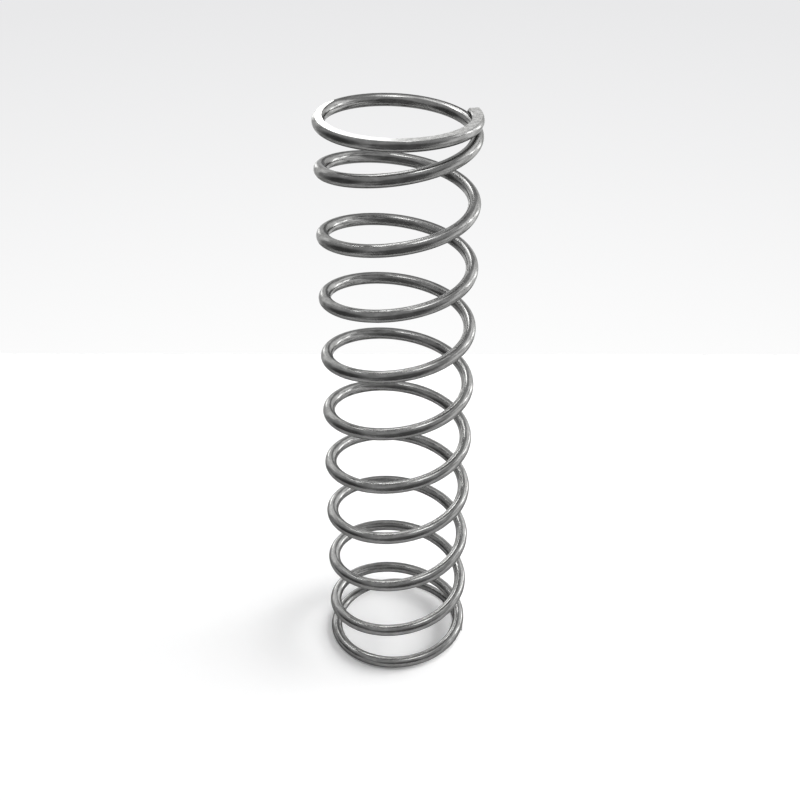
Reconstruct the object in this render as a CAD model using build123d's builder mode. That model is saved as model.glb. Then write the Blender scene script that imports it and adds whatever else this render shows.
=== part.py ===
"""Small helical compression spring, wound right-handed from one round wire.

The coils start and end in a squared end coil, wound nearly flat, and both ends are
ground across the axis so that the spring stands square between its seats.

Frame: millimetres, +Z along the spring's axis, origin on that axis in the bottom seat.
"""

from build123d import *

import os
from math import cos, pi, radians, sin

# ---- driving dimensions, in millimetres, turns and degrees -----------------------------

wire_diameter = 1.5
mean_diameter = 17.5
free_length = 75
total_turns = 11.075
tip_angle = -11                     # where the wire starts in the bottom seat, from +X

bottom_pitch = wire_diameter / 4    # start of the wire, laid nearly flat for grinding
lead_pitch = 3.3                    # rest of the bottom end coil, clear of its own tip
top_pitch = wire_diameter / 10      # end of the wire, closed onto the coil below

lead_start = 0.3                    # turns after the bottom tip
lead_blend = 0.3                    # turns over which the pitch changes
active_start = 1.1
active_blend = 0.2
top_flat_turns = 0.4                # turns before the top tip
top_blend = 0.9

bottom_tip_share = 0.25             # of the wire's thickness that grinding leaves
top_tip_share = 0.86

arcs_per_turn = 16                  # arcs that make up the bent wire

# ---- sizes worked out from them --------------------------------------------------------

wire_radius = wire_diameter / 2
mean_radius = mean_diameter / 2
start_height = bottom_tip_share * wire_diameter - wire_radius
end_height = free_length - top_tip_share * wire_diameter + wire_radius
top_start = total_turns - top_flat_turns - top_blend


def turns_past(turn, start, blend):
    """Turns made since `start`, where the change of pitch eases in over `blend` turns."""
    share = min(max((turn - start) / blend, 0), 1)
    eased = blend * (share**3 - share**4 / 2)
    return eased + max(turn - start - blend, 0)


def turns_by_pitch(turn):
    """Turns made so far at the bottom, the lead, the active and the top pitch."""
    past_bottom = turns_past(turn, lead_start, lead_blend)
    past_lead = turns_past(turn, active_start, active_blend)
    past_active = turns_past(turn, top_start, top_blend)
    return turn - past_bottom, past_bottom - past_lead, past_lead - past_active, past_active


bottom_turns, lead_turns, active_turns, top_turns = turns_by_pitch(total_turns)
rise_of_ends = bottom_turns * bottom_pitch + lead_turns * lead_pitch + top_turns * top_pitch
active_pitch = (end_height - start_height - rise_of_ends) / active_turns
pitches = (bottom_pitch, lead_pitch, active_pitch, top_pitch)


def on_centre_line(turn):
    """Point on the middle of the wire, so many turns after its bottom tip."""
    angle = radians(tip_angle) + 2 * pi * turn
    rise = sum(pitch * turns for pitch, turns in zip(pitches, turns_by_pitch(turn)))
    return Vector(mean_radius * cos(angle), mean_radius * sin(angle), start_height + rise)


# ---- the spring, one bent and ground wire ----------------------------------------------

arc_count = round(arcs_per_turn * total_turns)
arc_turns = total_turns / arc_count

with BuildPart() as spring:
    with BuildLine() as coil:
        bend = ThreePointArc(on_centre_line(0), on_centre_line(arc_turns / 2), on_centre_line(arc_turns))
        for index in range(2, arc_count + 1):
            bend = TangentArc(bend @ 1, on_centre_line(index * arc_turns), tangent=bend % 1)
    with BuildSketch(Plane(origin=coil.line @ 0, z_dir=coil.line % 0)):
        Circle(wire_radius)
    sweep(path=coil.line, is_frenet=True)

    # Both ends are ground: the seats are flats across the axis.
    split(bisect_by=Plane.XY, keep=Keep.TOP)
    split(bisect_by=Plane.XY.offset(free_length), keep=Keep.BOTTOM)

spring.part.label = "spring"

os.makedirs("parts", exist_ok=True)
export_step(spring.part, "parts/spring.step")

print("active pitch", round(active_pitch, 3), "mm")
print("wire length", round(sum(bend.length for bend in coil.edges()), 1), "mm")
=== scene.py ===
"""Looks of a small helical compression spring, coiled from round drawn steel wire.

The spring is one piece of wire. A Geometry Nodes tree coils a round tube along a path
whose pitch changes from the flat end coils to the open active ones, and grinds both
ends across the axis. The wire, its ground seats and its sheared ends are then finished
as separate steels, and the spring stands upright in a plain pale studio.
"""

import logging
from dataclasses import dataclass, field
from enum import Enum
from math import cos, pi, radians, sin
from typing import Any

import bpy
from mathutils import Matrix, Quaternion, Vector


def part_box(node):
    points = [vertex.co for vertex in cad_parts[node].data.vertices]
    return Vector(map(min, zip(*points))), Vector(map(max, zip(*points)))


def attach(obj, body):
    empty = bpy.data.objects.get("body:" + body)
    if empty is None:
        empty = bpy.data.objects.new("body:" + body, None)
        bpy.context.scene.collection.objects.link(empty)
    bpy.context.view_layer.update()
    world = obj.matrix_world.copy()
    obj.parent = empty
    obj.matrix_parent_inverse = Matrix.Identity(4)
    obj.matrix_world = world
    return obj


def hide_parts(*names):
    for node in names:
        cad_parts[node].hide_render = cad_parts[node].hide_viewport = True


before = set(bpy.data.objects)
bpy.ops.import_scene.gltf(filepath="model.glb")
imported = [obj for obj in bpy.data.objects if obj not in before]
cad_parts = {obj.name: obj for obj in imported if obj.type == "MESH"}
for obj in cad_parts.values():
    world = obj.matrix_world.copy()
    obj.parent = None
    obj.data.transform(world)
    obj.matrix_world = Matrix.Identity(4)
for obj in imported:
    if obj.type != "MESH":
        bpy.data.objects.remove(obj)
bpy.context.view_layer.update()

log = logging.getLogger("spring")

MILLIMETRE = 0.001

# Places of sockets that can't be told by name, because all kinds of data share the names.
COLOUR_A, COLOUR_B, MIXED_COLOUR = 6, 7, 2
NUMBER_A, NUMBER_B = 2, 3
COUNT_A, COUNT_B = 2, 3


class Reach(Enum):
    """What a card in the studio acts on."""

    ALL = "all"
    METAL = "metal"
    TABLE = "table"


# ---- small helpers ---------------------------------------------------------------------


def linear(hex_colour: str) -> tuple[float, float, float, float]:
    """Turn an sRGB colour into the linear values that shaders take.

    Args:
        hex_colour: The colour as six hex digits, such as "8f8e8b".

    Returns:
        Red, green, blue and alpha, each from 0 to 1.
    """
    channels = [int(hex_colour[place : place + 2], 16) / 255 for place in (0, 2, 4)]
    steps = [c / 12.92 if c <= 0.04045 else ((c + 0.055) / 1.055) ** 2.4 for c in channels]
    return steps[0], steps[1], steps[2], 1.0


def add_node(
    tree: bpy.types.NodeTree,
    kind: str,
    inputs: dict[Any, Any] | None = None,
    **settings: Any,
) -> bpy.types.Node:
    """Add one node to a tree, with its values, its links and its settings.

    Args:
        tree: The shader or geometry tree.
        kind: The node's type name, such as "ShaderNodeBump".
        inputs: Its inputs, by name or place. A socket is linked, and anything else is
            set as the input's value.
        **settings: Properties of the node itself.

    Returns:
        The new node.
    """
    node = tree.nodes.new(kind)
    for name, value in settings.items():
        setattr(node, name, value)
    for key, value in (inputs or {}).items():
        if isinstance(value, bpy.types.NodeSocket):
            tree.links.new(value, node.inputs[key])
        else:
            node.inputs[key].default_value = value
    return node


def plain_material(name: str) -> tuple[bpy.types.Material, bpy.types.Node]:
    """Make a material with nothing in it but the standard shader.

    Args:
        name: The finish that it stands for.

    Returns:
        The material and its shader.
    """
    made = bpy.data.materials.new(name)
    made.use_nodes = True
    return made, made.node_tree.nodes["Principled BSDF"]


def shown_rays(tree: bpy.types.NodeTree) -> bpy.types.NodeSocket:
    """Tell the rays that show a backdrop, directly or in metal, from those it only lights.

    Args:
        tree: The material's or the world's tree.

    Returns:
        1 for rays from the camera and from gloss or glass, and 0 for all others.
    """
    rays = add_node(tree, "ShaderNodeLightPath").outputs
    shown = rays["Is Camera Ray"]
    for kind in ("Is Glossy Ray", "Is Transmission Ray"):
        either = add_node(
            tree, "ShaderNodeMath", {0: shown, 1: rays[kind]}, operation="MAXIMUM"
        )
        shown = either.outputs[0]
    return shown


def stand_in_scene(piece: bpy.types.Object) -> bpy.types.Object:
    """Put an object into the scene, and hand it back."""
    bpy.context.scene.collection.objects.link(piece)
    return piece


# ---- finishes --------------------------------------------------------------------------


@dataclass(frozen=True)
class Grain:
    """An uneven pattern in a steel's surface.

    Its size is that of one line or patch along each axis. Its detail is how many finer
    patterns are laid over it, its strength is how much they count, and its bearing, in
    degrees, turns it round the upright axis.
    """

    size: tuple[float, float, float]
    detail: float
    strength: float = 0.5
    bearing: float = 0.0

    def spread(
        self, tree: bpy.types.NodeTree, place: bpy.types.NodeSocket
    ) -> bpy.types.NodeSocket:
        """Spread the pattern over a surface.

        Args:
            tree: The material's tree.
            place: The point on the surface.

        Returns:
            The pattern's value, about 0.5 on average.
        """
        sized = add_node(
            tree,
            "ShaderNodeMapping",
            {
                "Vector": place,
                "Rotation": (0.0, 0.0, radians(self.bearing)),
                "Scale": tuple(1 / length for length in self.size),
            },
        )
        noise = add_node(
            tree,
            "ShaderNodeTexNoise",
            {
                "Vector": sized.outputs[0],
                "Scale": 1.0,
                "Detail": self.detail,
                "Roughness": self.strength,
            },
        )
        return noise.outputs[0]


@dataclass(frozen=True)
class DrawnSteelWire:
    """Hard-drawn carbon steel wire, pulled through a die and coiled cold.

    Drawing leaves a smooth grey skin that reflects softly, with fine lines along the
    wire, and the coiling rollers rub it matt in a fine grain, so that each highlight is
    a small sharp glint inside a wide soft one.
    """

    name: str = "drawn_steel_wire"
    colour: str = "747473"
    rubbed_colour: str = "888887"
    edge_tint: str = "a0a0a0"
    roughness: float = 0.17
    rubbed_roughness: float = 0.27

    # Real die lines are some hundredths of a millimetre apart, which is too fine to
    # show, so they are drawn coarser. The last axis runs along the wire.
    die_lines: Grain = Grain(
        size=(0.16 * MILLIMETRE, 0.16 * MILLIMETRE, 12 * MILLIMETRE),
        detail=2.0,
        strength=0.6,
    )
    die_line_depth: float = 0.0003 * MILLIMETRE
    rubbed_patches: Grain = Grain(
        size=(0.45 * MILLIMETRE, 0.45 * MILLIMETRE, 1.35 * MILLIMETRE),
        detail=4.0,
        strength=0.65,
    )
    rubbed_from: float = 0.38
    rubbed_to: float = 0.68
    roughened_from: float = 0.3
    roughened_to: float = 0.75

    def material(self) -> bpy.types.Material:
        """Make the material.

        Returns:
            A metal whose lines follow the wire through the spring's own attribute.
        """
        made, steel = plain_material(self.name)
        tree = made.node_tree
        steel.inputs["Metallic"].default_value = 1.0
        steel.inputs["Specular Tint"].default_value = linear(self.edge_tint)

        wire = add_node(tree, "ShaderNodeAttribute", attribute_name=CoiledWire.STRAIGHT)
        lines = self.die_lines.spread(tree, wire.outputs["Vector"])
        patches = self.rubbed_patches.spread(tree, wire.outputs["Vector"])
        rubbed = add_node(
            tree,
            "ShaderNodeMapRange",
            {"Value": patches, "From Min": self.rubbed_from, "From Max": self.rubbed_to},
            interpolation_type="SMOOTHSTEP",
        )
        colour = add_node(
            tree,
            "ShaderNodeMix",
            {
                0: rubbed.outputs[0],
                COLOUR_A: linear(self.colour),
                COLOUR_B: linear(self.rubbed_colour),
            },
            data_type="RGBA",
        )
        roughness = add_node(
            tree,
            "ShaderNodeMapRange",
            {
                "Value": patches,
                "From Min": self.roughened_from,
                "From Max": self.roughened_to,
                "To Min": self.roughness,
                "To Max": self.rubbed_roughness,
            },
        )
        bump = add_node(
            tree,
            "ShaderNodeBump",
            {"Height": lines, "Distance": self.die_line_depth, "Strength": 1.0},
        )
        tree.links.new(colour.outputs[MIXED_COLOUR], steel.inputs["Base Color"])
        tree.links.new(roughness.outputs[0], steel.inputs["Roughness"])
        tree.links.new(bump.outputs[0], steel.inputs["Normal"])
        return made


@dataclass(frozen=True)
class GroundSteel:
    """Steel ground flat by a coarse wheel, across the spring's whole end.

    Grinding leaves bright bare metal with fine parallel scratches, which spread the
    light much wider than the drawn skin beside it. Towards the wire's tip the wheel
    only skimmed it, and the darker skin shows through in patches.
    """

    tip_angle: float
    name: str = "ground_steel_seat"
    colour: str = "ececea"
    scratched_colour: str = "d8d8d6"
    skimmed_colour: str = "8e8e8c"
    roughness: float = 0.42

    # A wheel's scratches are finer than this, and are drawn as coarse as they need to
    # show. They are the same at any height.
    scratches: Grain = Grain(
        size=(2.5 * MILLIMETRE, 0.05 * MILLIMETRE, 1.0),
        detail=3.0,
        strength=0.6,
        bearing=24.0,
    )
    scratch_depth: float = 0.004 * MILLIMETRE
    skimmed_turn: float = 0.28
    skimmed_blend: float = 0.05
    skimmed_patches: Grain = Grain(
        size=(0.5 * MILLIMETRE, 0.5 * MILLIMETRE, 0.5 * MILLIMETRE), detail=3.0
    )
    patchy_from: float = 0.3
    patchy_to: float = 0.7
    least_skimmed: float = 0.6

    def material(self) -> bpy.types.Material:
        """Make the material.

        Returns:
            A metal with straight scratches across the seat at one bearing, duller where
            the wheel only skimmed the last of the coil before its tip.
        """
        made, steel = plain_material(self.name)
        tree = made.node_tree
        steel.inputs["Metallic"].default_value = 1.0
        steel.inputs["Roughness"].default_value = self.roughness

        place = add_node(tree, "ShaderNodeTexCoord").outputs["Object"]
        scratches = self.scratches.spread(tree, place)
        ground = add_node(
            tree,
            "ShaderNodeMix",
            {
                0: scratches,
                COLOUR_A: linear(self.colour),
                COLOUR_B: linear(self.scratched_colour),
            },
            data_type="RGBA",
        )
        colour = add_node(
            tree,
            "ShaderNodeMix",
            {
                0: self.skimmed(tree, place),
                COLOUR_A: ground.outputs[MIXED_COLOUR],
                COLOUR_B: linear(self.skimmed_colour),
            },
            data_type="RGBA",
        )
        bump = add_node(
            tree,
            "ShaderNodeBump",
            {"Height": scratches, "Distance": self.scratch_depth, "Strength": 1.0},
        )
        tree.links.new(colour.outputs[MIXED_COLOUR], steel.inputs["Base Color"])
        tree.links.new(bump.outputs[0], steel.inputs["Normal"])
        return made

    def skimmed(
        self, tree: bpy.types.NodeTree, place: bpy.types.NodeSocket
    ) -> bpy.types.NodeSocket:
        """Find where the wheel only skimmed the seat, in patches, up to the wire's tip.

        Args:
            tree: The material's tree.
            place: The point on the spring.

        Returns:
            How far the drawn skin still shows, from 0 to 1.
        """
        from_tip = add_node(
            tree,
            "ShaderNodeVectorRotate",
            {"Vector": place, "Angle": -radians(self.tip_angle)},
            rotation_type="Z_AXIS",
        )
        axes = add_node(tree, "ShaderNodeSeparateXYZ", {0: from_tip.outputs[0]}).outputs
        angle = add_node(
            tree, "ShaderNodeMath", {0: axes["Y"], 1: axes["X"]}, operation="ARCTAN2"
        )
        turned = add_node(
            tree,
            "ShaderNodeMath",
            {0: angle.outputs[0], 1: -1 / (2 * pi)},
            operation="MULTIPLY",
        )
        turns_left = add_node(
            tree,
            "ShaderNodeMath",
            {0: turned.outputs[0], 1: 1.0},
            operation="FLOORED_MODULO",
        )
        near_tip = add_node(
            tree,
            "ShaderNodeMapRange",
            {
                "Value": turns_left.outputs[0],
                "From Min": self.skimmed_turn + self.skimmed_blend,
                "From Max": self.skimmed_turn,
            },
            interpolation_type="SMOOTHSTEP",
        )
        patchy = add_node(
            tree,
            "ShaderNodeMapRange",
            {
                "Value": self.skimmed_patches.spread(tree, place),
                "From Min": self.patchy_from,
                "From Max": self.patchy_to,
                "To Min": self.least_skimmed,
                "To Max": 1.0,
            },
            interpolation_type="SMOOTHSTEP",
        )
        share = add_node(
            tree,
            "ShaderNodeMath",
            {0: near_tip.outputs[0], 1: patchy.outputs[0]},
            operation="MULTIPLY",
        )
        return share.outputs[0]


@dataclass(frozen=True)
class ShearedSteel:
    """Steel where the cut-off tool sheared the wire.

    Shearing leaves a dull torn face with a coarse grain, darker than the drawn skin.
    """

    name: str = "sheared_steel_end"
    colour: str = "6f6e6c"
    roughness: float = 0.5
    grain: Grain = Grain(
        size=(0.12 * MILLIMETRE, 0.12 * MILLIMETRE, 0.12 * MILLIMETRE), detail=4.0
    )
    grain_depth: float = 0.012 * MILLIMETRE

    def material(self) -> bpy.types.Material:
        """Make the material.

        Returns:
            A dull metal with a torn grain.
        """
        made, steel = plain_material(self.name)
        tree = made.node_tree
        steel.inputs["Metallic"].default_value = 1.0
        steel.inputs["Roughness"].default_value = self.roughness
        steel.inputs["Base Color"].default_value = linear(self.colour)

        place = add_node(tree, "ShaderNodeTexCoord").outputs["Object"]
        bump = add_node(
            tree,
            "ShaderNodeBump",
            {
                "Height": self.grain.spread(tree, place),
                "Distance": self.grain_depth,
                "Strength": 1.0,
            },
        )
        tree.links.new(bump.outputs[0], steel.inputs["Normal"])
        return made


@dataclass(frozen=True)
class WhitePaper:
    """Matt white paper for the floor, which keeps a soft shadow and no gloss.

    A small glow of its own keeps it a full white wherever it is seen, and lights nothing.
    """

    name: str = "matt_white_paper"
    colour: str = "fbfbfb"
    glow: float = 0.12

    def material(self) -> bpy.types.Material:
        """Make the material.

        Returns:
            A plain matt white.
        """
        made, paper = plain_material(self.name)
        tree = made.node_tree
        paper.inputs["Base Color"].default_value = linear(self.colour)
        paper.inputs["Roughness"].default_value = 1.0
        paper.inputs["Specular IOR Level"].default_value = 0.0
        paper.inputs["Emission Color"].default_value = linear(self.colour)
        glow = add_node(
            tree,
            "ShaderNodeMath",
            {0: shown_rays(tree), 1: self.glow},
            operation="MULTIPLY",
        )
        tree.links.new(glow.outputs[0], paper.inputs["Emission Strength"])
        return made


# ---- the spring ------------------------------------------------------------------------


@dataclass(frozen=True)
class Change:
    """A gentle change of pitch, in turns after the bottom tip."""

    start: float
    blend: float

    @property
    def end(self) -> float:
        """Turn at which the new pitch is reached."""
        return self.start + self.blend

    @property
    def middle(self) -> float:
        """Turn at which an abrupt change would give the same height."""
        return self.start + self.blend / 2


@dataclass
class CoiledWire:
    """The spring's one piece of wire, from its bottom tip to its top tip.

    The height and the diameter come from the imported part. The pitch is flat at both
    ends and open between them, and changes gently from one to the next. The shares are
    what grinding leaves of the wire's thickness at its tips, the wheels that grind them
    are given next to the coil's radius, and angles are in degrees.
    """

    STRAIGHT = "wire_before_coiling"
    SHEARED = "sheared_face"

    node: str = "spring"
    wire_diameter: float = 1.5 * MILLIMETRE
    turns: float = 11.075
    tip_angle: float = -11.0
    bottom_pitch: float = 0.375 * MILLIMETRE
    lead_pitch: float = 3.3 * MILLIMETRE
    top_pitch: float = 0.15 * MILLIMETRE
    lead_start: Change = Change(0.3, 0.3)
    active_start: Change = Change(1.1, 0.2)
    top_flat_turns: float = 0.4
    top_blend: float = 0.9
    bottom_tip_share: float = 0.25
    top_tip_share: float = 0.86
    shear_depth: float = 0.35 * MILLIMETRE
    shear_reach: float = 1.2 * MILLIMETRE
    rings_per_turn: int = 104
    sides: int = 64
    wheel_to_coil: float = 6.0
    level_within: float = 1.0
    free_length: float = field(init=False)
    coil_radius: float = field(init=False)

    def __post_init__(self) -> None:
        """Take the free length and the coil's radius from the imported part."""
        low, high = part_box(self.node)
        self.free_length = high.z
        self.coil_radius = (high.x - low.x - self.wire_diameter) / 2

    @property
    def wire_radius(self) -> float:
        """Half the wire's thickness."""
        return self.wire_diameter / 2

    @property
    def start_height(self) -> float:
        """Height of the wire's middle at its bottom tip."""
        return self.bottom_tip_share * self.wire_diameter - self.wire_radius

    @property
    def end_height(self) -> float:
        """Height of the wire's middle at its top tip."""
        return self.free_length - self.top_tip_share * self.wire_diameter + self.wire_radius

    @property
    def top_start(self) -> Change:
        """Where the active pitch starts to close onto the flat end."""
        return Change(self.turns - self.top_flat_turns - self.top_blend, self.top_blend)

    @property
    def top_tip_angle(self) -> float:
        """Where the wire ends, round the axis."""
        return (self.tip_angle + 360 * self.turns) % 360

    @property
    def active_pitch(self) -> float:
        """Find the pitch of the open coils, which make up the rest of the free length.

        Returns:
            How far the wire rises in one open turn.
        """
        lead_turns = self.active_start.middle - self.lead_start.middle
        active_turns = self.top_start.middle - self.active_start.middle
        rise = self.end_height - self.start_height
        rise -= self.lead_start.middle * self.bottom_pitch
        rise -= lead_turns * self.lead_pitch
        rise -= (self.turns - self.top_start.middle) * self.top_pitch
        return rise / active_turns

    def build(self) -> bpy.types.Object:
        """Coil the wire and grind its ends with a Geometry Nodes tree.

        Returns:
            The spring as a plain mesh, with its place in its vertices.
        """
        tree = self.coiling_tree()
        sizes = self.tree_inputs()
        empty = bpy.data.meshes.new("coiling")
        host = stand_in_scene(bpy.data.objects.new("coiling", empty))
        steps = host.modifiers.new("coiling", "NODES")
        steps.node_group = tree
        for item in tree.interface.items_tree:
            if item.in_out == "INPUT" and item.name in sizes:
                steps[item.identifier] = sizes[item.name]
        bpy.context.view_layer.update()
        shaped = host.evaluated_get(bpy.context.evaluated_depsgraph_get())
        mesh = bpy.data.meshes.new_from_object(shaped)
        bpy.data.objects.remove(host)
        mesh.name = "coil_spring"
        # Grinding leaves an empty first slot.
        mesh.materials.pop(index=0)
        return stand_in_scene(bpy.data.objects.new("coil_spring", mesh))

    def tree_inputs(self) -> dict[str, float]:
        """Gather the sizes that the coiling tree takes.

        Returns:
            Each size by the name of its input, with the angle in radians.
        """
        return {
            "Turns": self.turns,
            "Tip Angle": radians(self.tip_angle),
            "Coil Radius": self.coil_radius,
            "Wire Radius": self.wire_radius,
            "Free Length": self.free_length,
            "Start Height": self.start_height,
            "Bottom Pitch": self.bottom_pitch,
            "Lead Pitch": self.lead_pitch,
            "Active Pitch": self.active_pitch,
            "Top Pitch": self.top_pitch,
            "Shear Depth": self.shear_depth,
            "Shear Reach": self.shear_reach,
        }

    def coiling_tree(self) -> bpy.types.NodeTree:
        """Make the tree that coils and grinds the wire.

        Returns:
            A geometry tree with a named input for each size.
        """
        tree = bpy.data.node_groups.new("coil_and_grind", "GeometryNodeTree")
        sockets = tree.interface
        for name in self.tree_inputs():
            sockets.new_socket(name, in_out="INPUT", socket_type="NodeSocketFloat")
        sockets.new_socket("Spring", in_out="OUTPUT", socket_type="NodeSocketGeometry")
        sizes = add_node(tree, "NodeGroupInput").outputs
        path, length, tangent = self.path(tree, sizes)
        tube = self.tube(tree, sizes, path, length, tangent)
        ground = self.ground(tree, sizes, tube)
        real = add_node(tree, "GeometryNodeRealizeInstances", {0: ground})
        add_node(tree, "NodeGroupOutput", {0: self.steels(tree, real.outputs[0])})
        return tree

    def pitch(
        self,
        tree: bpy.types.NodeTree,
        sizes: bpy.types.NodeOutputs,
        turn: bpy.types.NodeSocket,
    ) -> bpy.types.NodeSocket:
        """Change gently from each pitch to the next.

        Args:
            tree: The coiling tree.
            sizes: Outputs of the tree's own input node.
            turn: Turns made since the bottom tip.

        Returns:
            The pitch at every point.
        """
        pitch = sizes["Bottom Pitch"]
        for change, following in (
            (self.lead_start, "Lead Pitch"),
            (self.active_start, "Active Pitch"),
            (self.top_start, "Top Pitch"),
        ):
            eased = add_node(
                tree,
                "ShaderNodeMapRange",
                {"Value": turn, "From Min": change.start, "From Max": change.end},
                interpolation_type="SMOOTHSTEP",
            )
            mixed = add_node(
                tree,
                "ShaderNodeMix",
                {0: eased.outputs[0], NUMBER_A: pitch, NUMBER_B: sizes[following]},
            )
            pitch = mixed.outputs[0]
        return pitch

    def path(
        self, tree: bpy.types.NodeTree, sizes: bpy.types.NodeOutputs
    ) -> tuple[bpy.types.NodeSocket, bpy.types.NodeSocket, bpy.types.NodeSocket]:
        """Lay the wire's middle line, whose height is its pitch added up along the turns.

        Args:
            tree: The coiling tree.
            sizes: Outputs of the tree's own input node.

        Returns:
            The curve, the distance along it and its direction.
        """
        count = round(self.rings_per_turn * self.turns) + 1
        line = add_node(tree, "GeometryNodeMeshLine", {"Count": count}, mode="OFFSET")
        bare = add_node(tree, "GeometryNodeMeshToCurve", {0: line.outputs[0]})
        index = add_node(tree, "GeometryNodeInputIndex")
        step = add_node(
            tree,
            "ShaderNodeMath",
            {0: sizes["Turns"], 1: float(count - 1)},
            operation="DIVIDE",
        )
        turn = add_node(
            tree,
            "ShaderNodeMath",
            {0: index.outputs[0], 1: step.outputs[0]},
            operation="MULTIPLY",
        ).outputs[0]

        rise = add_node(
            tree,
            "ShaderNodeMath",
            {0: self.pitch(tree, sizes, turn), 1: step.outputs[0]},
            operation="MULTIPLY",
        )
        risen = add_node(tree, "GeometryNodeAccumulateField", {0: rise.outputs[0]}).outputs
        doubled = add_node(
            tree,
            "ShaderNodeMath",
            {0: risen["Leading"], 1: risen["Trailing"]},
            operation="ADD",
        )
        height = add_node(
            tree,
            "ShaderNodeMath",
            {0: doubled.outputs[0], 1: 0.5, 2: sizes["Start Height"]},
            operation="MULTIPLY_ADD",
        )
        angle = add_node(
            tree,
            "ShaderNodeMath",
            {0: turn, 1: 2 * pi, 2: sizes["Tip Angle"]},
            operation="MULTIPLY_ADD",
        )
        outward = add_node(
            tree,
            "ShaderNodeVectorRotate",
            {"Vector": (1.0, 0.0, 0.0), "Angle": angle.outputs[0]},
            rotation_type="Z_AXIS",
        )
        flat = add_node(
            tree,
            "ShaderNodeVectorMath",
            {0: outward.outputs[0], "Scale": sizes["Coil Radius"]},
            operation="SCALE",
        )
        lifted = add_node(tree, "ShaderNodeCombineXYZ", {"Z": height.outputs[0]})
        place = add_node(
            tree,
            "ShaderNodeVectorMath",
            {0: flat.outputs[0], 1: lifted.outputs[0]},
            operation="ADD",
        )
        bent = add_node(
            tree,
            "GeometryNodeSetPosition",
            {"Geometry": bare.outputs[0], "Position": place.outputs[0]},
        )
        level = add_node(
            tree, "GeometryNodeSetCurveNormal", {0: bent.outputs[0]}, mode="Z_UP"
        )

        spline = add_node(tree, "GeometryNodeSplineParameter")
        tangent = add_node(tree, "GeometryNodeInputTangent")
        kept = add_node(tree, "GeometryNodeCaptureAttribute", {0: level.outputs[0]})
        kept.capture_items.new("FLOAT", "Length")
        kept.capture_items.new("VECTOR", "Tangent")
        tree.links.new(spline.outputs["Length"], kept.inputs[1])
        tree.links.new(tangent.outputs[0], kept.inputs[2])
        return kept.outputs[0], kept.outputs[1], kept.outputs[2]

    def tube(
        self,
        tree: bpy.types.NodeTree,
        sizes: bpy.types.NodeOutputs,
        path: bpy.types.NodeSocket,
        length: bpy.types.NodeSocket,
        tangent: bpy.types.NodeSocket,
    ) -> bpy.types.NodeSocket:
        """Draw the round wire along its middle line, and note where each point was.

        Args:
            tree: The coiling tree.
            sizes: Outputs of the tree's own input node.
            path: The middle line.
            length: The distance along it.
            tangent: Its direction.

        Returns:
            The closed tube, whose attribute holds its points as they lay in the straight
            wire, so that drawn lines follow the wire without a seam.
        """
        ring = add_node(
            tree,
            "GeometryNodeCurvePrimitiveCircle",
            {"Resolution": self.sides, "Radius": sizes["Wire Radius"]},
            mode="RADIUS",
        )
        place = add_node(tree, "GeometryNodeInputPosition")
        kept = add_node(tree, "GeometryNodeCaptureAttribute", {0: ring.outputs[0]})
        kept.capture_items.new("VECTOR", "Section")
        tree.links.new(place.outputs[0], kept.inputs[1])
        swept = add_node(
            tree,
            "GeometryNodeCurveToMesh",
            {"Curve": path, "Profile Curve": kept.outputs[0], "Fill Caps": True},
        )
        along = add_node(tree, "ShaderNodeCombineXYZ", {"Z": length})
        straight = add_node(
            tree,
            "ShaderNodeVectorMath",
            {0: kept.outputs[1], 1: along.outputs[0]},
            operation="ADD",
        ).outputs[0]
        torn = self.shear(tree, sizes, swept.outputs[0], straight, tangent)
        noted = add_node(
            tree,
            "GeometryNodeStoreNamedAttribute",
            {"Geometry": torn, "Name": self.STRAIGHT, "Value": straight},
            data_type="FLOAT_VECTOR",
            domain="CORNER",
        )
        # Only the two caps have more corners than half the wire's sides.
        corners = add_node(tree, "GeometryNodeInputMeshFaceNeighbors")
        cap = add_node(
            tree,
            "FunctionNodeCompare",
            {COUNT_A: corners.outputs["Vertex Count"], COUNT_B: self.sides // 2},
            data_type="INT",
            operation="GREATER_THAN",
        )
        marked = add_node(
            tree,
            "GeometryNodeStoreNamedAttribute",
            {"Geometry": noted.outputs[0], "Name": self.SHEARED, "Value": cap.outputs[0]},
            data_type="BOOLEAN",
            domain="FACE",
        )
        return marked.outputs[0]

    def shear(
        self,
        tree: bpy.types.NodeTree,
        sizes: bpy.types.NodeOutputs,
        tube: bpy.types.NodeSocket,
        straight: bpy.types.NodeSocket,
        tangent: bpy.types.NodeSocket,
    ) -> bpy.types.NodeSocket:
        """Draw the middle of each cut end back, as the cut-off tool's blade leaves it.

        Args:
            tree: The coiling tree.
            sizes: Outputs of the tree's own input node.
            tube: The wire with its square ends.
            straight: Each point's place in the straight wire.
            tangent: The direction of the wire.

        Returns:
            The wire with its hollow, torn ends.
        """
        place = add_node(tree, "ShaderNodeSeparateXYZ", {0: straight}).outputs
        whole = add_node(
            tree,
            "GeometryNodeAttributeStatistic",
            {"Geometry": tube, "Attribute": place["Z"]},
            data_type="FLOAT",
        )
        to_top = add_node(
            tree,
            "ShaderNodeMath",
            {0: whole.outputs["Max"], 1: place["Z"]},
            operation="SUBTRACT",
        )
        to_tip = add_node(
            tree,
            "ShaderNodeMath",
            {0: to_top.outputs[0], 1: place["Z"]},
            operation="MINIMUM",
        )
        depth = add_node(
            tree,
            "ShaderNodeMapRange",
            {
                "Value": to_tip.outputs[0],
                "From Min": 0.0,
                "From Max": sizes["Shear Reach"],
                "To Min": sizes["Shear Depth"],
                "To Max": 0.0,
            },
            interpolation_type="SMOOTHSTEP",
        )

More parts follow.
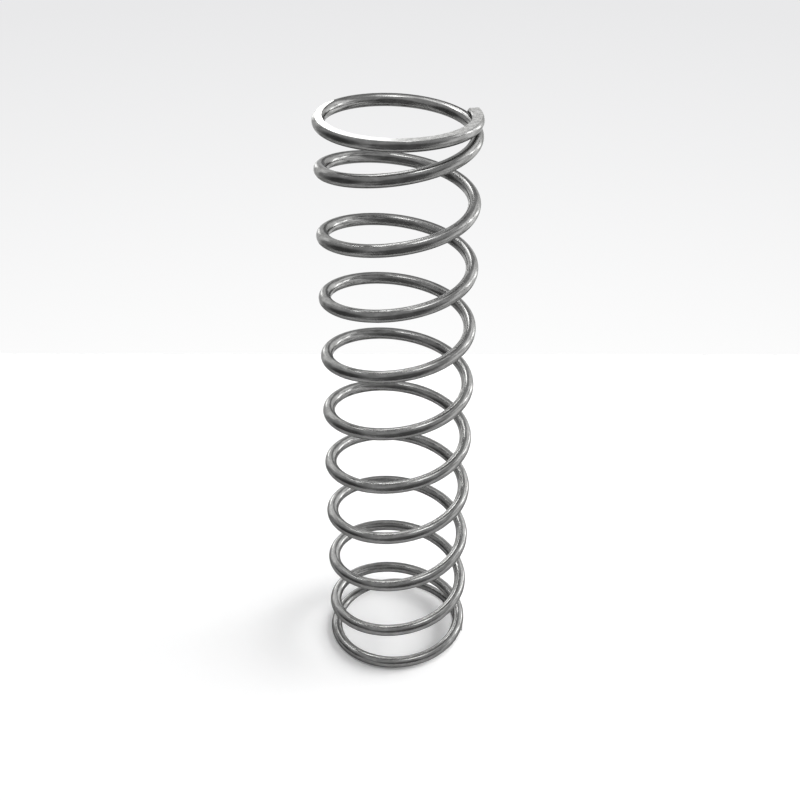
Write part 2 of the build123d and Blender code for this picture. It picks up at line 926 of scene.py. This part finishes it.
        across = add_node(
            tree,
            "ShaderNodeMath",
            {0: place["X"], 1: sizes["Wire Radius"]},
            operation="DIVIDE",
        )
        squared = add_node(
            tree,
            "ShaderNodeMath",
            {0: across.outputs[0], 1: across.outputs[0]},
            operation="MULTIPLY",
        )
        hollow = add_node(
            tree, "ShaderNodeMath", {0: 1.0, 1: squared.outputs[0]}, operation="SUBTRACT"
        )
        amount = add_node(
            tree,
            "ShaderNodeMath",
            {0: depth.outputs[0], 1: hollow.outputs[0]},
            operation="MULTIPLY",
        )

        # Inwards is along the wire at its bottom tip and against it at the top one.
        before_middle = add_node(
            tree,
            "ShaderNodeMath",
            {0: to_top.outputs[0], 1: place["Z"]},
            operation="SUBTRACT",
        )
        inwards = add_node(
            tree, "ShaderNodeMath", {0: before_middle.outputs[0]}, operation="SIGN"
        )
        signed = add_node(
            tree,
            "ShaderNodeMath",
            {0: amount.outputs[0], 1: inwards.outputs[0]},
            operation="MULTIPLY",
        )
        offset = add_node(
            tree,
            "ShaderNodeVectorMath",
            {0: tangent, "Scale": signed.outputs[0]},
            operation="SCALE",
        )
        torn = add_node(
            tree,
            "GeometryNodeSetPosition",
            {"Geometry": tube, "Offset": offset.outputs[0]},
        )
        return torn.outputs[0]

    def ground(
        self,
        tree: bpy.types.NodeTree,
        sizes: bpy.types.NodeOutputs,
        tube: bpy.types.NodeSocket,
    ) -> bpy.types.NodeSocket:
        """Grind both ends square, as two wheels would, with a crisp edge to each flat.

        Args:
            tree: The coiling tree.
            sizes: Outputs of the tree's own input node.
            tube: The coiled wire before grinding.

        Returns:
            The wire with its two flat seats.
        """
        wheel_size = self.wheel_to_coil * self.coil_radius
        wheel = add_node(
            tree,
            "GeometryNodeMeshCube",
            {"Size": (wheel_size, wheel_size, wheel_size)},
        )
        below = add_node(
            tree,
            "GeometryNodeTransform",
            {0: wheel.outputs[0], "Translation": (0.0, 0.0, -wheel_size / 2)},
        )
        above_height = add_node(
            tree,
            "ShaderNodeMath",
            {0: sizes["Free Length"], 1: wheel_size / 2},
            operation="ADD",
        )
        above_place = add_node(tree, "ShaderNodeCombineXYZ", {"Z": above_height.outputs[0]})
        above = add_node(
            tree,
            "GeometryNodeTransform",
            {0: wheel.outputs[0], "Translation": above_place.outputs[0]},
        )
        cut = add_node(
            tree,
            "GeometryNodeMeshBoolean",
            {"Mesh 1": tube},
            operation="DIFFERENCE",
            solver="EXACT",
        )
        tree.links.new(below.outputs[0], cut.inputs["Mesh 2"])
        tree.links.new(above.outputs[0], cut.inputs["Mesh 2"])
        smooth = add_node(
            tree, "GeometryNodeSetShadeSmooth", {0: cut.outputs[0]}, domain="FACE"
        )
        crisp = add_node(
            tree,
            "GeometryNodeSetShadeSmooth",
            {
                "Geometry": smooth.outputs[0],
                "Selection": cut.outputs["Intersecting Edges"],
                "Shade Smooth": False,
            },
            domain="EDGE",
        )
        return crisp.outputs[0]

    def seat(self, tree: bpy.types.NodeTree) -> bpy.types.NodeSocket:
        """Pick out the ground seats, the only level faces with more corners than the wire.

        Args:
            tree: The coiling tree.

        Returns:
            True on the two seats.
        """
        normal = add_node(tree, "GeometryNodeInputNormal")
        axes = add_node(tree, "ShaderNodeSeparateXYZ", {0: normal.outputs[0]})
        upright = add_node(
            tree, "ShaderNodeMath", {0: axes.outputs["Z"]}, operation="ABSOLUTE"
        )
        level = add_node(
            tree,
            "FunctionNodeCompare",
            {0: upright.outputs[0], 1: cos(radians(self.level_within))},
            data_type="FLOAT",
            operation="GREATER_THAN",
        )
        corners = add_node(tree, "GeometryNodeInputMeshFaceNeighbors")
        wide = add_node(
            tree,
            "FunctionNodeCompare",
            {COUNT_A: corners.outputs["Vertex Count"], COUNT_B: self.sides},
            data_type="INT",
            operation="GREATER_THAN",
        )
        both = add_node(
            tree,
            "FunctionNodeBooleanMath",
            {0: level.outputs[0], 1: wide.outputs[0]},
            operation="AND",
        )
        return both.outputs[0]

    def steels(
        self, tree: bpy.types.NodeTree, wire: bpy.types.NodeSocket
    ) -> bpy.types.NodeSocket:
        """Give the drawn skin, the sheared ends and the ground seats their own steels.

        Args:
            tree: The coiling tree.
            wire: The finished shape.

        Returns:
            The shape with its three materials.
        """
        torn = add_node(
            tree,
            "GeometryNodeInputNamedAttribute",
            {"Name": self.SHEARED},
            data_type="BOOLEAN",
        )
        for where, finish in (
            (True, DrawnSteelWire()),
            (torn.outputs[0], ShearedSteel()),
            (self.seat(tree), GroundSteel(self.top_tip_angle)),
        ):
            finished = add_node(
                tree,
                "GeometryNodeSetMaterial",
                {"Geometry": wire, "Selection": where, "Material": finish.material()},
            )
            wire = finished.outputs[0]
        return wire

    def dress(self, piece: bpy.types.Object) -> None:
        """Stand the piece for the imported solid, and let it ride on the spring's body.

        Args:
            piece: The spring's mesh, with its steels on it.
        """
        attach(piece, "root")
        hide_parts(self.node)


# ---- the studio ------------------------------------------------------------------------


@dataclass(frozen=True)
class Card:
    """Something flat that stands round the spring and faces it, out of the view.

    It stands towards an azimuth, in degrees from the back (+Y) that grow towards the
    right (+X), and an elevation above the floor. Its size is its width and its height,
    in metres, and its lean turns it in its own plane.
    """

    name: str
    towards: tuple[float, float]
    size: tuple[float, float]
    level: float
    lean: float = 0.0
    distance: float = 1.0
    reach: Reach = Reach.ALL

    def body(self) -> bpy.types.Object:
        """Make the card itself, which each kind does in its own way."""
        raise NotImplementedError

    def build(self) -> None:
        """Stand the card in its place, facing the spring."""
        card = self.body()
        turn, lift = (radians(angle) for angle in self.towards)
        out = Vector((sin(turn) * cos(lift), cos(turn) * cos(lift), sin(lift)))
        leaning = Quaternion((0, 0, 1), radians(self.lean))
        card.location = out * self.distance
        card.rotation_mode = "QUATERNION"
        card.rotation_quaternion = out.to_track_quat("Z", "Y") @ leaning
        card.visible_camera = False
        card.visible_diffuse = self.reach is not Reach.METAL
        card.visible_glossy = self.reach is not Reach.TABLE
        stand_in_scene(card)


@dataclass(frozen=True)
class SoftBox(Card):
    """An evenly lit panel, whose level is its brightness next to a white wall's 1."""

    def body(self) -> bpy.types.Object:
        """Make the lamp.

        Returns:
            A rectangular lamp.
        """
        width, height = self.size
        lamp = bpy.data.lights.new(self.name, "AREA")
        lamp.shape = "RECTANGLE"
        lamp.size = width
        lamp.size_y = height
        lamp.energy = self.level * width * height * pi
        return bpy.data.objects.new(self.name, lamp)


@dataclass(frozen=True)
class DarkFlag(Card):
    """A sheet of dark cloth with a soft rim, which only the metal shows."""

    reach: Reach = Reach.METAL
    solid_share: float = 0.35

    def body(self) -> bpy.types.Object:
        """Make the flag's flat sheet, with a UV map that runs from its middle to its rim.

        Returns:
            A sheet of one face, which casts no shadow.
        """
        across, up = self.size[0] / 2, self.size[1] / 2
        mesh = bpy.data.meshes.new(self.name)
        corners = [(-across, -up, 0), (across, -up, 0), (across, up, 0), (-across, up, 0)]
        mesh.from_pydata(corners, [], [(0, 1, 2, 3)])
        rim = mesh.uv_layers.new(name="rim")
        for loop, place in zip(rim.data, [(-1, -1), (1, -1), (1, 1), (-1, 1)]):
            loop.uv = place
        mesh.materials.append(self.cloth())
        card = bpy.data.objects.new(self.name, mesh)
        card.visible_shadow = False
        return card

    def cloth(self) -> bpy.types.Material:
        """Make the flag's dark cloth, which thins out towards its rim.

        Returns:
            A plain dark material with a soft edge.
        """
        made = bpy.data.materials.new(self.name)
        made.use_nodes = True
        tree = made.node_tree
        tree.nodes.clear()
        rim = add_node(tree, "ShaderNodeUVMap", uv_map="rim")
        outwards = add_node(
            tree, "ShaderNodeVectorMath", {0: rim.outputs[0]}, operation="LENGTH"
        )
        cover = add_node(
            tree,
            "ShaderNodeMapRange",
            {
                "Value": outwards.outputs["Value"],
                "From Min": 1.0,
                "From Max": self.solid_share,
            },
            interpolation_type="SMOOTHSTEP",
        )
        clear = add_node(tree, "ShaderNodeBsdfTransparent")
        dark = add_node(
            tree,
            "ShaderNodeEmission",
            {"Color": (1.0, 1.0, 1.0, 1.0), "Strength": self.level},
        )
        mixed = add_node(
            tree,
            "ShaderNodeMixShader",
            {0: cover.outputs[0], 1: clear.outputs[0], 2: dark.outputs[0]},
        )
        add_node(tree, "ShaderNodeOutputMaterial", {0: mixed.outputs[0]})
        return made


@dataclass(frozen=True)
class Camera:
    """A camera in front of the spring and above it, looking down.

    Its angles are in degrees, and its lens and its film's width in millimetres.
    """

    place: tuple[float, float, float] = (0.0, -118.58 * MILLIMETRE, 112.05 * MILLIMETRE)
    down: float = 31.95
    turn: float = -0.14
    roll: float = 0.144
    lens: float = 49.50
    film_width: float = 36.0
    nearest: float = 0.005
    farthest: float = 20.0

    def build(self) -> None:
        """Stand the camera in its place and look through it."""
        lens = bpy.data.cameras.new("camera")
        lens.sensor_width = self.film_width
        lens.lens = self.lens
        lens.clip_start = self.nearest
        lens.clip_end = self.farthest
        camera = bpy.data.objects.new("camera", lens)
        camera.location = self.place
        turned = Matrix.Rotation(radians(self.turn), 4, "Z")
        tilted = Matrix.Rotation(radians(90 - self.down), 4, "X")
        rolled = Matrix.Rotation(radians(self.roll), 4, "Z")
        camera.rotation_euler = (turned @ tilted @ rolled).to_euler()
        bpy.context.scene.camera = stand_in_scene(camera)


@dataclass(frozen=True)
class Studio:
    """A white table top in front of a pale wall, with soft boxes and dark flags.

    The small boxes give the wire its glints, the wide ones its soft shine, and the flags
    its dark underside. The wall turns from its low colour to its high one between two
    elevations, in degrees.
    """

    table_width: float = 0.19
    table_front: float = -0.05
    table_back: float = 0.0789
    wall_level: float = 0.32
    wall_low: str = "fdfdfd"
    wall_high: str = "e9e9ea"
    wall_low_at: float = -29.0
    wall_high_at: float = -12.0
    cards: tuple[Card, ...] = (
        SoftBox("ceiling_tube", (-39, 55), (0.8, 0.24), 2.3, 53, 1.05, Reach.METAL),
        SoftBox("ceiling_lamp_low", (-47, 54), (0.17, 0.14), 15.0, reach=Reach.METAL),
        SoftBox("ceiling_lamp_high", (-40, 60), (0.14, 0.12), 8.5, reach=Reach.METAL),
        SoftBox("back_lamp", (-13, 47), (0.15, 0.14), 12.0, reach=Reach.METAL),
        SoftBox("ceiling_scrim", (26, 84), (0.75, 0.55), 1.45, distance=1.05),
        SoftBox("side_window", (72, 21), (0.13, 0.22), 9.0),
        SoftBox("low_window", (52, 4), (0.13, 0.36), 6.5, lean=27),
        SoftBox("back_window", (-21, 4), (0.16, 0.2), 9.0),
        SoftBox("roof_window", (132, 80), (0.24, 0.24), 6.8),
        SoftBox("back_scrim_left", (-23, 1), (0.95, 1.1), 1.8, distance=1.1),
        SoftBox("back_scrim_right", (42, -4), (1.25, 1.1), 2.0, distance=1.1),
        SoftBox("high_scrim", (62, 37), (1.1, 0.34), 1.7, distance=1.1),
        SoftBox("right_scrim", (98, 0), (1.0, 0.7), 1.05, distance=1.1),
        SoftBox("table_window", (80, 27), (0.7, 0.42), 8.5, reach=Reach.TABLE),
        DarkFlag("right_flag", (124, 12), (0.75, 0.6), 0.4, distance=0.95),
        DarkFlag("low_flag", (-178, 3), (3.2, 1.2), 0.24, distance=1.12),
        DarkFlag("under_flag", (180, -48), (2.8, 1.8), 0.2, distance=1.15),
        DarkFlag("left_flag", (-98, -2), (2.3, 2.4), 0.14, distance=1.2),
        DarkFlag("front_flag", (172, 2), (2.8, 2.5), 0.22, distance=1.2),
    )
    camera: Camera = Camera()

    def build(self) -> None:
        """Set the table, the wall's light, the cards and the camera."""
        self.table()
        self.wall()
        for card in self.cards:
            card.build()
        self.camera.build()

    def table(self) -> None:
        """Lay the white table top, whose back edge is the line behind the spring."""
        across = self.table_width / 2
        mesh = bpy.data.meshes.new("table_top")
        corners = [
            (-across, self.table_front, 0),
            (across, self.table_front, 0),
            (across, self.table_back, 0),
            (-across, self.table_back, 0),
        ]
        mesh.from_pydata(corners, [], [(0, 1, 2, 3)])
        mesh.materials.append(WhitePaper().material())
        top = stand_in_scene(bpy.data.objects.new("table_top", mesh))

    def wall(self) -> None:
        """Light the room from all round, and show a pale wall behind the table."""
        world = bpy.data.worlds.new("pale_room")
        world.use_nodes = True
        bpy.context.scene.world = world
        tree = world.node_tree
        tree.nodes.clear()
        place = add_node(tree, "ShaderNodeTexCoord")
        axes = add_node(tree, "ShaderNodeSeparateXYZ", {0: place.outputs["Generated"]})
        rise = add_node(
            tree,
            "ShaderNodeMapRange",
            {
                "Value": axes.outputs["Z"],
                "From Min": sin(radians(self.wall_low_at)),
                "From Max": sin(radians(self.wall_high_at)),
            },
        )
        shade = add_node(
            tree,
            "ShaderNodeMix",
            {
                0: rise.outputs[0],
                COLOUR_A: linear(self.wall_low),
                COLOUR_B: linear(self.wall_high),
            },
            data_type="RGBA",
        )
        level = add_node(
            tree,
            "ShaderNodeMapRange",
            {"Value": shown_rays(tree), "To Min": self.wall_level, "To Max": 1.0},
        )
        light = add_node(
            tree,
            "ShaderNodeBackground",
            {"Color": shade.outputs[MIXED_COLOUR], "Strength": level.outputs[0]},
        )
        add_node(tree, "ShaderNodeOutputWorld", {0: light.outputs[0]})


def main() -> None:
    """Build the spring and the studio round it."""
    logging.basicConfig(level=logging.INFO, format="%(message)s")
    wire = CoiledWire()
    spring = wire.build()
    wire.dress(spring)
    log.info("%s: %d faces", spring.name, len(spring.data.polygons))
    studio = Studio()
    studio.build()
    log.info("studio: %d soft boxes and flags", len(studio.cards))
    bpy.context.scene.view_settings.view_transform = "Standard"


if __name__ == "__main__":
    main()
